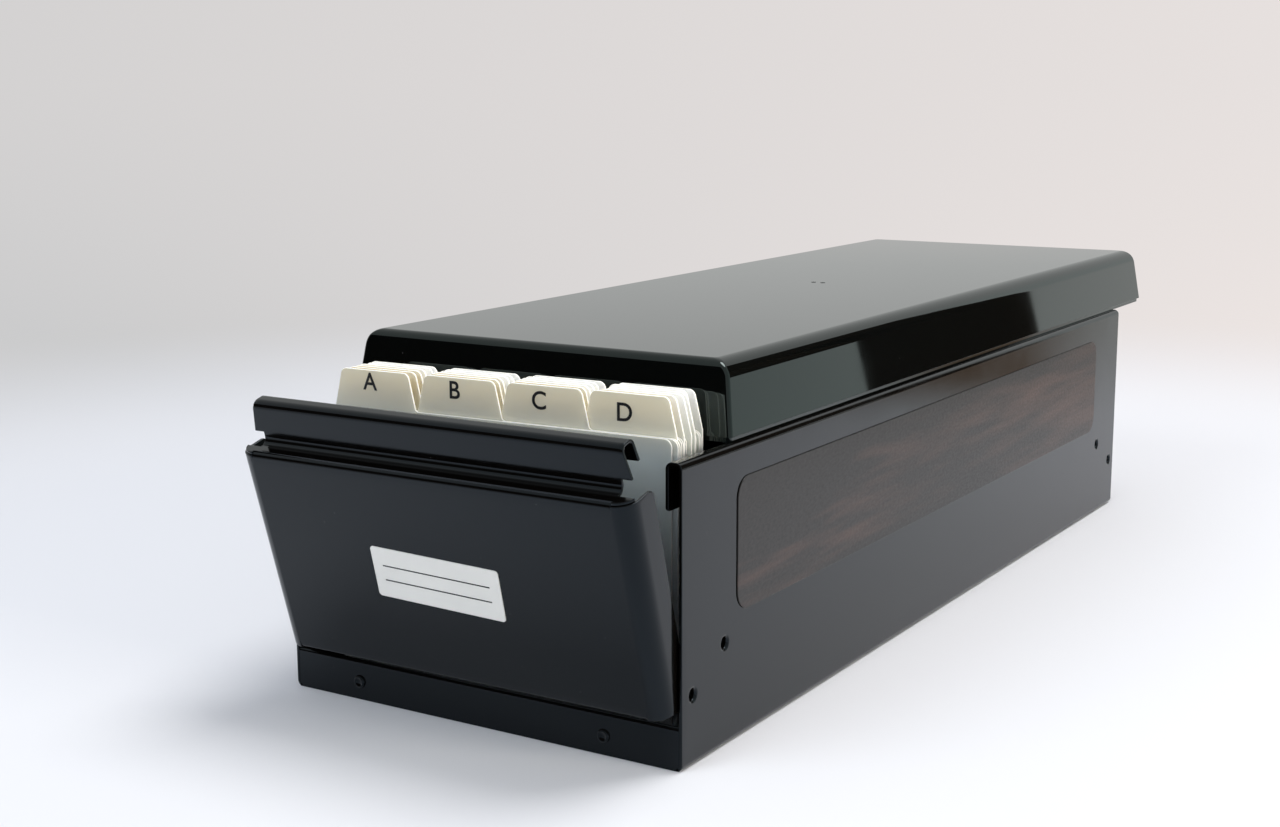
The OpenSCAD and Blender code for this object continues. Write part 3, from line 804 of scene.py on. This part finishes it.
class CARDBOX_OT_rear_panel(bpy.types.Operator):
    """Folds the fixed back with its flanges and hem"""

    bl_idname = "cardbox.rear_panel"
    bl_label = "Rear Panel"

    def execute(self, context):
        box = context.scene.card_box
        case, panel = box.case, box.panel
        mid = case.sheet / 2
        low_x = HALF_W - case.sheet
        flange_x = low_x - panel.flange_gap - mid
        flat_x = flange_x - case.bend
        lip_x = HALF_W - case.hem_w
        back_y = BODY_L - mid
        corner_y = back_y - case.bend
        flange_y = BODY_L - PIVOT_Y - case.stop_back - panel.ear_r
        hem_y, hem_z = BODY_L - case.hem_w + mid, BODY_H - mid
        low_z, high_z = SILL_TOP, BODY_H - case.hem_drop - case.sheet
        foot, low, high = [Vector((back_y, z)) for z in (case.bend + mid, low_z, high_z)]
        hem = bent_path([high, (back_y, hem_z), (hem_y, hem_z), (hem_y, BODY_H - case.hem_drop)],
                        [case.bend, case.bend])
        corner = bent_path([(flat_x, back_y), (flange_x, back_y), (flange_x, corner_y)], [case.bend])
        holes = [circle(p, panel.hole_r) for p in dimple_places(case)[2:]]
        shell = Shell()
        shell.strip([foot, low], [-low_x, -flat_x, -lip_x, lip_x, flat_x, low_x], across)
        shell.strip([low, high], [-flat_x, -lip_x, lip_x, flat_x], across)
        shell.strip(hem, [-lip_x, lip_x], across)
        for side in (1, -1):
            shell.strip(corner, [low_z, high_z], upright(side))
            shell.flat([rectangle(flange_y, low_z, corner_y, high_z)], holes, standing(side * flange_x))
        hand_over_sheet(context, shell.finish("rear_panel_sheet"), "case", "rear_panel")
        return {"FINISHED"}


class CARDBOX_OT_sill(bpy.types.Operator):
    """Folds the low sill at the front and sets its two rivets"""

    bl_idname = "cardbox.sill"
    bl_label = "Sill and Rivets"

    def execute(self, context):
        case = context.scene.card_box.case
        mid = case.sheet / 2
        half = HALF_W - case.sheet
        path = bent_path([(mid, 0.0), (mid, SILL_TOP - mid), (case.sill_d, SILL_TOP - mid)], [case.fold])
        shell = Shell()
        shell.strip(path, [-half, half], across)
        hand_over_sheet(context, shell.finish("front_sill_sheet"), "case", "front_sill")
        rivets = round_edges(self.rivets(case), case.rivet_edge)
        hand_over(context, rivets, "sprayed_paint", "case", "case_paint", "sill_rivets")
        return {"FINISHED"}

    def rivets(self, case):
        """Both rivets, each from its head in front to its clinched end behind two sheets."""
        head, high = case.rivet_r, case.rivet_h
        shank, clinch = RIVET_SHANK * head, RIVET_CLINCH * head
        back = 2 * case.sheet
        profile = [(r * head, -y * high) for r, y in RIVET_HEAD]
        profile += [(shank, 0.0), (shank, back), (clinch, back), (clinch, back + high)]
        profile.append((profile[0][0], back + high))
        shell = Shell()
        for x in (-case.rivet_gap / 2, case.rivet_gap / 2):
            shell.solid([[Vector((q.x, FRONT + y, q.y)) for q in circle((x, case.rivet_z), r)]
                         for r, y in profile])
        return shell.finish("sill_rivet_heads")


class CARDBOX_OT_wood_strips(bpy.types.Operator):
    """Lays a wood-grain film on each side wall"""

    bl_idname = "cardbox.wood_strips"
    bl_label = "Wood Strips"

    def execute(self, context):
        case = context.scene.card_box.case
        for node in ("right_wood_strip", "left_wood_strip"):
            low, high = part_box(node)
            outline = round_outline(rectangle(low.y, low.z, high.y, high.z), [case.strip_r] * 4)
            shell = Shell()
            shell.solid([[Vector((x, p.x, p.y)) for p in outline] for x in (low.x, high.x)])
            film = round_edges(shell.finish(node + "_film"), case.strip_edge)
            hand_over(context, film, "wood_film_painted_light", "case", "wood_grain", node)
        return {"FINISHED"}


class CARDBOX_OT_front_panel(bpy.types.Operator):
    """Folds the tilting front: face, corners, flanges with pivot ears and heels, ledge, neck and head"""

    bl_idname = "cardbox.front_panel"
    bl_label = "Front Panel"

    def execute(self, context):
        box = context.scene.card_box
        shell = Shell()
        self.face_and_head(shell, box.case, box.panel)
        for side in (1, -1):
            self.corner_and_flange(shell, box.case, box.panel, side)
        hand_over_sheet(context, shell.finish("front_panel_sheet", tilted()), "front_panel", "front_panel")
        return {"FINISHED"}

    def face_and_head(self, shell, case, panel):
        """The middle of the panel, from its lower return up to the lip behind the head."""
        mid = case.sheet / 2
        flat_x = HALF_W - case.sheet - panel.flange_gap - panel.corner_r
        head_x = HALF_W - panel.head_inset
        face = mid - panel.face_out
        head_y = panel.head_back - panel.face_out
        neck_y, lip_y = head_y + mid, head_y + panel.head_d - mid
        bottom = SILL_TOP + panel.face_rise + mid
        ledge = BODY_H - panel.ledge_drop - mid
        head_z = BODY_H - panel.ledge_drop + panel.slot_h
        top = head_z + panel.head_h

        def slanted(p, x):
            inwards = panel.head_slant * (p.y - head_z) / panel.head_h
            return across(p, x if abs(x) < head_x else math.copysign(head_x - inwards, x))

        front = bent_path([(panel.return_d - panel.face_out, bottom), (face, bottom), (face, ledge),
                           (panel.corner_ledge - panel.face_out, ledge), (neck_y, ledge), (neck_y, head_z)],
                          [case.fold, case.bend, 0.0, panel.neck_r])
        head = bent_path([(neck_y, head_z), (neck_y, top - mid), (lip_y, top - mid),
                          (lip_y, top - panel.head_lip)], [panel.head_r, case.bend])
        shell.strip(front, [-flat_x, flat_x], across)
        shell.strip(head, [-head_x, -flat_x, flat_x, head_x], slanted)

    def corner_and_flange(self, shell, case, panel, side):
        """An upright corner with the ledge over it, and the flange behind it with its ear and heel."""
        mid = case.sheet / 2
        face = mid - panel.face_out
        start = panel.corner_r - panel.face_out
        rear = panel.flange_d - panel.face_out
        flange_x = HALF_W - case.sheet - panel.flange_gap - mid
        flat_x = flange_x + mid - panel.corner_r
        low = SILL_TOP + panel.face_rise
        ledge = BODY_H - panel.ledge_drop
        high = ledge - case.sheet
        levels = [low, low + mid + case.fold, ledge - mid - case.bend, high]
        corner = bent_path([(flat_x, face), (flange_x, face), (flange_x, start)], [panel.corner_r - mid])
        shell.strip(corner, levels, upright(side))
        ledge_rear = panel.corner_ledge - panel.face_out
        plate = [Vector((flat_x, ledge_rear)), Vector((flat_x, face + case.bend))]
        plate += [p for p in corner if p.y < ledge_rear]
        plate.append(Vector((plate[-1].x, ledge_rear)))
        shell.flat([plate], [], lambda p: upright(side)(p, high + mid))
        pivot = Vector((PIVOT_Y, PIVOT.z))
        tip = panel.heel_l * Vector((math.cos(panel.heel_angle), math.sin(panel.heel_angle)))
        heel = [(0.0, 0.0), (0.0, -panel.ear_r), (panel.heel_l / 2, -panel.heel_drop),
                (panel.heel_l - panel.heel_drop / 2, -panel.heel_drop), tip]
        flange = round_outline(rectangle(start, low, rear, high), [0, 0, panel.flange_r, 0])
        flange += [Vector((start, z)) for z in levels[-2:0:-1]]
        shapes = [flange, circle(pivot, panel.ear_r), [pivot + Vector(p) for p in heel]]
        shell.flat(shapes, [circle(pivot, panel.hole_r)], standing(side * flange_x))


class CARDBOX_OT_label(bpy.types.Operator):
    """Sticks a blank label with ruled lines on the front panel"""

    bl_idname = "cardbox.label"
    bl_label = "Label"

    def execute(self, context):
        box = context.scene.card_box
        label = box.label
        centre = Vector((label.x, FRONT - box.panel.face_out, SILL_TOP + box.panel.face_rise + label.rise))
        shift = tilted() @ Matrix.Translation(centre) @ Matrix.Rotation(label.turn, 4, "Y")
        w, h = label.w / 2, label.h / 2
        outline = round_outline(rectangle(-w, -h, w, h), [label.r] * 4)
        plate = self.plate([outline], 0.0, label.t, "front_label_film", shift)
        round_edges(plate, label.edge)
        hand_over(context, plate, "label_film", "front_panel", "label_white", "front_label")
        reach = w - label.margin
        rules = [rectangle(-reach, z - label.rule / 2, reach, z + label.rule / 2)
                 for z in (-label.rule_gap / 2, label.rule_gap / 2)]
        ink = self.plate(rules, label.t, label.t + label.ink, "front_label_rules", shift)
        hand_over(context, ink, "print_ink", "front_panel", "label_white")
        return {"FINISHED"}

    def plate(self, outlines, back, face, name, shift):
        """Flat bodies between two distances in front of the panel."""
        shell = Shell()
        for outline in outlines:
            shell.solid([[Vector((p.x, -y, p.y)) for p in outline] for y in (back, face)])
        return shell.finish(name, shift)


class CARDBOX_OT_lid(bpy.types.Operator):
    """Moulds the lid: drafted walls, round top edges, the tongue below and two gate marks on top"""

    bl_idname = "cardbox.lid"
    bl_label = "Lid"

    def execute(self, context):
        lid = context.scene.card_box.lid
        low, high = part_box("lid")
        half = (high - low) / 2
        centre = (high + low) / 2
        base = low.z + lid.gap

        def ring(x, y, z):
            outline = round_outline(rectangle(-x, -y, x, y), [lid.corner_r] * 4)
            return [Vector((centre.x + p.x, centre.y + p.y, base + z)) for p in outline]

        outside = self.walls(lid, half, high.z - base, 0.0)
        inside = self.walls(lid, half, high.z - base, lid.wall)
        outer, inner = lid.tongue_in, lid.tongue_in + lid.tongue_t
        tongue = [(half.x - inset, half.y - inset, z)
                  for inset, z in ((outer, 0.0), (outer, -lid.gap), (inner, -lid.gap), (inner, 0.0))]
        shell = Shell()
        shell.solid([ring(*level) for level in outside[::-1] + tongue + inside])
        moulding = round_edges(shell.finish("lid_moulding"), lid.edge)
        hand_over(context, moulding, "polished_lid", "lid", "lid_gloss", "lid")
        marks = self.gate_marks(lid, Vector((centre.x, centre.y, high.z)))
        hand_over(context, marks, "polished_lid", "lid", "lid_gloss")
        return {"FINISHED"}

    def walls(self, lid, half, height, wall):
        """Half width, half length and height of the levels from the lower edge to the top."""
        top = height - wall
        shapes = [(half.x - wall, lid.side_r - wall / 2), (half.y - wall, lid.end_r - wall / 2)]
        turns = [lid.draft + (math.pi / 2 - lid.draft) * i / LID_EDGE_STEPS for i in range(LID_EDGE_STEPS)]
        levels = {0.0, top}
        for _, radius in shapes:
            levels |= {top - radius * (1 - math.sin(turn)) for turn in turns}
        return [tuple(self.reach(lid.draft, edge, top, radius, z) for edge, radius in shapes) + (z,)
                for z in sorted(levels)]

    def reach(self, draft, edge, top, radius, z):
        """Distance from the middle to a drafted wall that rounds over into the top."""
        if z <= top - radius * (1 - math.sin(draft)):
            return edge - z * math.tan(draft)
        middle = edge - top * math.tan(draft) - radius * (1 - math.sin(draft)) / math.cos(draft)
        return middle + math.sqrt(max(0.0, radius ** 2 - (z - top + radius) ** 2))

    def gate_marks(self, lid, top):
        """Two low round marks side by side in the middle of the top."""
        shell = Shell()
        for side in (-0.5, 0.5):
            middle = (top.x + side * lid.gate_gap, top.y)
            shell.solid([[Vector((p.x, p.y, top.z + z)) for p in circle(middle, lid.gate_r * r)]
                         for r, z in GATE_MARK])
        return shell.finish("lid_gate_marks")


class CARDBOX_OT_dividers(bpy.types.Operator):
    """Cuts the index dividers with their tabs and prints the letters"""

    bl_idname = "cardbox.dividers"
    bl_label = "Index Dividers"

    def execute(self, context):
        divider = context.scene.card_box.divider
        letters = bmesh.new()
        for index, node in enumerate(DIVIDER_NODES):
            low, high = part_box(node)
            middle = (low + high) / 2
            place = Matrix.Translation((middle.x, middle.y, low.z)) @ Matrix.Rotation(divider.turn, 4, "Z")
            column = index % divider.columns
            height = high.z - low.z - divider.tab_h
            outline = self.outline(divider, column, height)
            shell = Shell()
            shell.solid([[Vector((p.x, y, p.y)) for p in outline] for y in (-divider.t / 2, divider.t / 2)])
            card = round_edges(shell.finish(node + "_card", place), divider.edge, 1)
            hand_over(context, card, "milky_plastic_painted_light", "dividers", "divider_white", node)
            self.print_letter(letters, divider, node.split("_")[1].upper(), column, height, place)
        hand_over(context, in_scene(letters, "tab_letters"), "print_ink", "dividers", "divider_white")
        return {"FINISHED"}

    def tab_left(self, divider, column):
        """Place of a tab's left foot beside the middle of its divider."""
        return column * (divider.w - divider.tab_w) / (divider.columns - 1) - divider.w / 2

    def outline(self, divider, column, height):
        """Outline of a divider, whose tab takes the place of the corner in the outer columns."""
        half = divider.w / 2
        left = self.tab_left(divider, column)
        right = left + divider.tab_w
        top = height + divider.tab_h
        first, last = column == 0, column == divider.columns - 1
        corners = [(-half, 0.0, 0), (half, 0.0, 0)]
        if not last:
            corners.append((half, height, divider.corner_r))
        corners += [
            (right, height, 0 if last else divider.foot_r),
            (right - divider.tab_slant, top, divider.tab_r),
            (left + divider.tab_slant, top, divider.tab_r),
            (left, height, 0 if first else divider.foot_r),
        ]
        if not first:
            corners.append((-half, height, divider.corner_r))
        return round_outline([corner[:2] for corner in corners], [corner[2] for corner in corners])

    def print_letter(self, letters, divider, text, column, height, place):
        """Adds one tab's letter to the printed letters."""
        type_face = bpy.data.curves.new("letter", "FONT")
        type_face.body = text
        type_face.align_x = "CENTER"
        type_face.align_y = "CENTER"
        type_face.size = divider.letter_h / CAP_HEIGHT
        type_face.extrude = divider.ink / 2
        type_face.offset = divider.letter_bold / 2
        type_face.resolution_u = LETTER_STEPS
        glyph = bpy.data.objects.new("letter", type_face)
        x = self.tab_left(divider, column) + divider.tab_w / 2 + divider.letter_x
        z = height + divider.letter_z - divider.letter_drop * (column / (divider.columns - 1)) ** 2
        at = Vector((x, -divider.t / 2 - divider.ink / 2, z))
        outline = glyph.to_mesh()
        outline.transform(place @ Matrix.Translation(at) @ Matrix.Rotation(math.pi / 2, 4, "X"))
        letters.from_mesh(outline)
        glyph.to_mesh_clear()
        bpy.data.objects.remove(glyph)


class CARDBOX_OT_stage(bpy.types.Operator):
    """Sets the camera, the pale floor and the soft studio light"""

    bl_idname = "cardbox.stage"
    bl_label = "Stage"

    def execute(self, context):
        stage = context.scene.card_box.stage
        context.scene.view_settings.view_transform = "Standard"
        self.camera(context, stage)
        self.floor(stage)
        self.world(context, stage)
        self.flag(stage, "dark_corner", stage.corner_heading, stage.corner_away, CORNER_BOARDS)
        self.flag(stage, "dark_room", stage.room_heading, stage.room_away, ROOM_BOARDS)
        self.lamp(context, "key_light", stage.key, stage.key_place, stage.key_w, stage.key_tone)
        side = self.lamp(context, "side_light", stage.side, stage.side_place, stage.side_w, stage.side_tone)
        fill = self.lamp(context, "fill_light", stage.fill, stage.fill_place, stage.fill_w, stage.fill_tone)
        side.visible_glossy = False
        fill.visible_glossy = False
        return {"FINISHED"}

    def camera(self, context, stage):
        data = bpy.data.cameras.new("photo_view")
        data.lens = stage.lens
        data.clip_start = 10 * MM
        eye = bpy.data.objects.new("photo_view", data)
        turn = Matrix.Rotation(stage.yaw, 4, "Z") @ Matrix.Rotation(math.pi / 2 - stage.pitch, 4, "X")
        eye.matrix_world = Matrix.Translation(stage.eye) @ turn @ Matrix.Rotation(-stage.roll, 4, "Z")
        context.scene.collection.objects.link(eye)
        context.scene.camera = eye

    def sideways(self, made, direction, stage):
        """How far a direction goes to the right of the camera's view."""
        return made.along(direction, (math.cos(stage.yaw), math.sin(stage.yaw), 0.0))

    def backdrop(self, made, direction, stage, low=None):
        """Colour of the backdrop, which has more tones in reflections and lights less than it shows."""
        sideways = self.sideways(made, direction, stage)
        upwards = made.along(direction, UP)
        plain = made.blend(made.spread(sideways, *LEFT_TO_RIGHT), stage.backdrop_left, stage.backdrop_right)
        tone = made.blend(made.spread(upwards, *HIGHER_UP), plain, stage.backdrop_high)
        tone = made.blend(made.spread(sideways, *FAR_RIGHT), tone, stage.backdrop_side)
        if low:
            tone = made.blend(low, tone, stage.furniture)
        path = made.add("ShaderNodeLightPath").outputs
        seen = path["Is Camera Ray"]
        tone = made.blend(seen, tone, plain)
        for kind in ("Is Glossy Ray", "Is Transmission Ray"):
            seen = made.combine("MAXIMUM", seen, path[kind])
        return {"Color": made.blend(seen, stage.ambient, tone), "Strength": 1.0}

    def floor(self, stage):
        """A sheet of paper under the object that passes into the backdrop further out."""
        shell = Shell()
        corners = rectangle(-STAGE_REACH, -STAGE_REACH, STAGE_REACH, STAGE_REACH)
        shell.face([Vector((p.x, p.y, -STAGE_DROP)) for p in corners])
        floor = shell.finish("stage_floor")
        made = Finish("stage_paper", {"Roughness": 0.85, "Specular IOR Level": 0.2})
        made.drive({"Base Color": made.blend(made.clouds(3, 2), lighter(stage.floor, 0.985), stage.floor)})
        heading = made.add("ShaderNodeVectorMath", {0: made.place}, operation="NORMALIZE").outputs["Vector"]
        away = made.add("ShaderNodeVectorMath", {0: made.place}, operation="LENGTH").outputs["Value"]
        sideways = self.sideways(made, heading, stage)
        low = made.add("ShaderNodeLightPath").outputs["Is Glossy Ray"]
        for value, ends in ((away, FURNITURE_NEAR), (away, FURNITURE_FAR), (sideways, FURNITURE_SIDE)):
            low = made.combine("MULTIPLY", low, made.spread(value, *ends, form="SMOOTHSTEP"))
        glow = made.add("ShaderNodeEmission", self.backdrop(made, heading, stage, low)).outputs["Emission"]
        far = made.spread(away, stage.paper_near, stage.paper_far, form="SMOOTHSTEP")
        far = made.combine("MAXIMUM", far, low)
        mixed = made.add("ShaderNodeMixShader", {0: far, 1: made.surface.outputs["BSDF"], 2: glow})
        made.connect(made.tree.nodes["Material Output"], {"Surface": mixed.outputs["Shader"]})
        floor.data.materials.append(made.material)

    def world(self, context, stage):
        world = bpy.data.worlds.new("studio")
        made = NodeTree(world, "Generated")
        made.connect(made.tree.nodes["Background"], self.backdrop(made, made.place, stage))
        context.scene.world = world

    def flag(self, stage, name, heading, away, boards):
        """Dark boards that only reflections show, across a heading from the right side wall."""
        out = Vector((math.sin(heading), math.cos(heading), 0.0))
        aside = Vector((out.y, -out.x, 0.0))
        middle = Vector((HALF_W, 0.0, 0.0)) + away * out
        shell = Shell()
        for left, right, low, high in boards:
            corners = rectangle(left, low, right, high)
            shell.face([middle + p.x * aside + Vector((0.0, 0.0, p.y)) for p in corners])
        flag = shell.finish(name)
        matt = Finish(name, {"Base Color": stage.board, "Roughness": 1.0, "Specular IOR Level": 0.0})
        flag.data.materials.append(matt.material)
        flag.visible_camera = False
        flag.visible_diffuse = False
        flag.visible_shadow = False

    def lamp(self, context, name, watts, place, width, tone):
        """A round lamp that points at the middle of the box."""
        data = bpy.data.lights.new(name, "AREA")
        data.shape = "DISK"
        data.size = width
        data.energy = watts
        data.color = tone[:3]
        lamp = bpy.data.objects.new(name, data)
        lamp.location = place
        lamp.rotation_euler = (-Vector(place)).to_track_quat("-Z", "Y").to_euler()
        lamp.visible_camera = False
        context.scene.collection.objects.link(lamp)
        return lamp


PIECES = (
    CARDBOX_OT_side_walls,
    CARDBOX_OT_floor,
    CARDBOX_OT_rear_panel,
    CARDBOX_OT_sill,
    CARDBOX_OT_wood_strips,
    CARDBOX_OT_front_panel,
    CARDBOX_OT_label,
    CARDBOX_OT_lid,
    CARDBOX_OT_dividers,
    CARDBOX_OT_stage,
)


class CARDBOX_PT_pieces(bpy.types.Panel):
    """Lists the pieces of the card box and their settings"""

    bl_idname = "CARDBOX_PT_pieces"
    bl_label = "Card Box"
    bl_space_type = "VIEW_3D"
    bl_region_type = "UI"
    bl_category = "Card Box"

    def draw(self, context):
        for piece in PIECES:
            self.layout.operator(piece.bl_idname)
        for group in CardBoxSettings.__annotations__:
            column = self.layout.column(heading=group.title())
            settings = getattr(context.scene.card_box, group)
            for name in settings.__annotations__:
                column.prop(settings, name)


CLASSES = (
    CaseSettings,
    PanelSettings,
    LabelSettings,
    LidSettings,
    DividerSettings,
    FinishSettings,
    StageSettings,
    CardBoxSettings,
    *PIECES,
    CARDBOX_PT_pieces,
)


def register():
    for made in CLASSES:
        bpy.utils.register_class(made)
    bpy.types.Scene.card_box = PointerProperty(type=CardBoxSettings)


def unregister():
    del bpy.types.Scene.card_box
    for made in reversed(CLASSES):
        bpy.utils.unregister_class(made)


def main():
    register()
    for piece in PIECES:
        group, name = piece.bl_idname.split(".")
        getattr(getattr(bpy.ops, group), name)()


if __name__ == "__main__":
    main()
